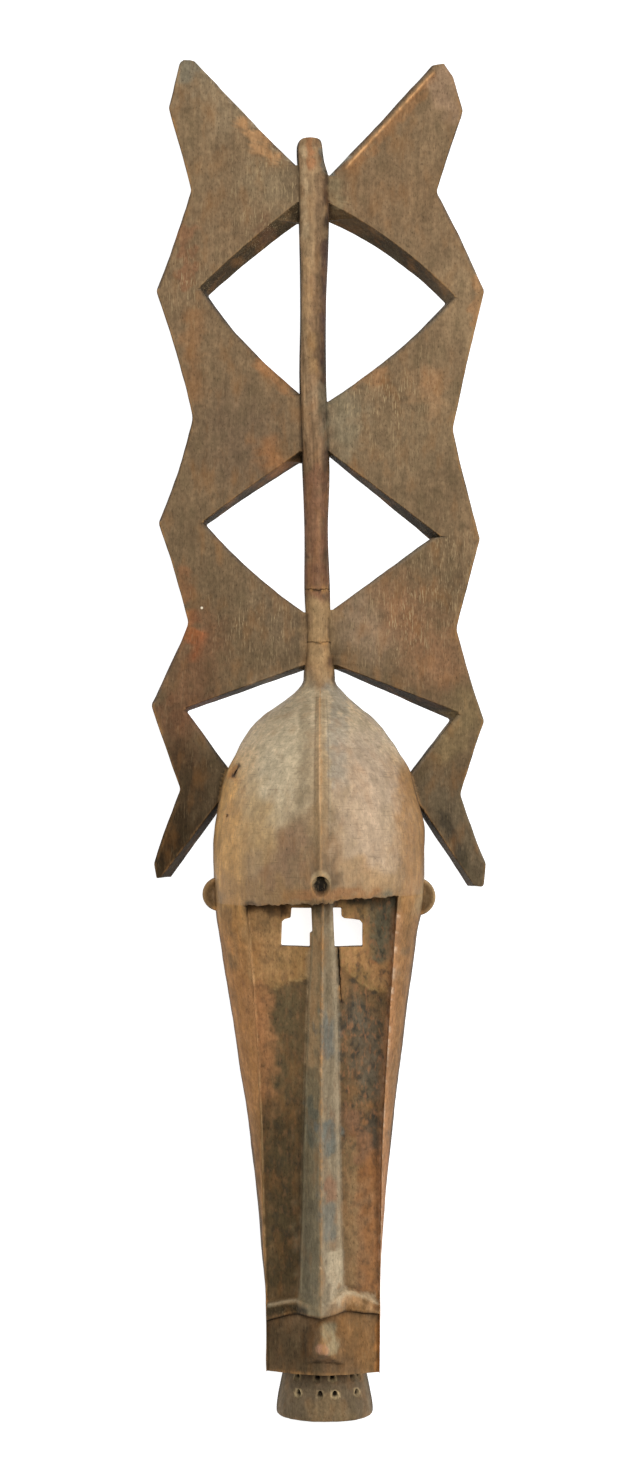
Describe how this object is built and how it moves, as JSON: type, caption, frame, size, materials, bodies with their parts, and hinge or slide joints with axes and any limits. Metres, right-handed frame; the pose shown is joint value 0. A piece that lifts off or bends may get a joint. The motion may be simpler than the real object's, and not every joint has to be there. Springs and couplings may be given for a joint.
{
  "type": "african face mask",
  "caption": "Tall carved wooden nwenka mask: domed head with a long recessed face, square eye openings and a pierced zigzag board above, lying face up.",
  "frame": {"origin": "centre of the overall box, on the flat back the mask lies on", "axes": "+Y along the mask towards the top of the board, +Z out of the face, +X to the right as seen from the front"},
  "size_m": [0.394, 1.6019, 0.1919],
  "materials": {
    "carved_wood": "satin"
  },
  "bodies": {
    "root": {"nwenka_mask": "carved_wood"}
  },
  "joints": []
}
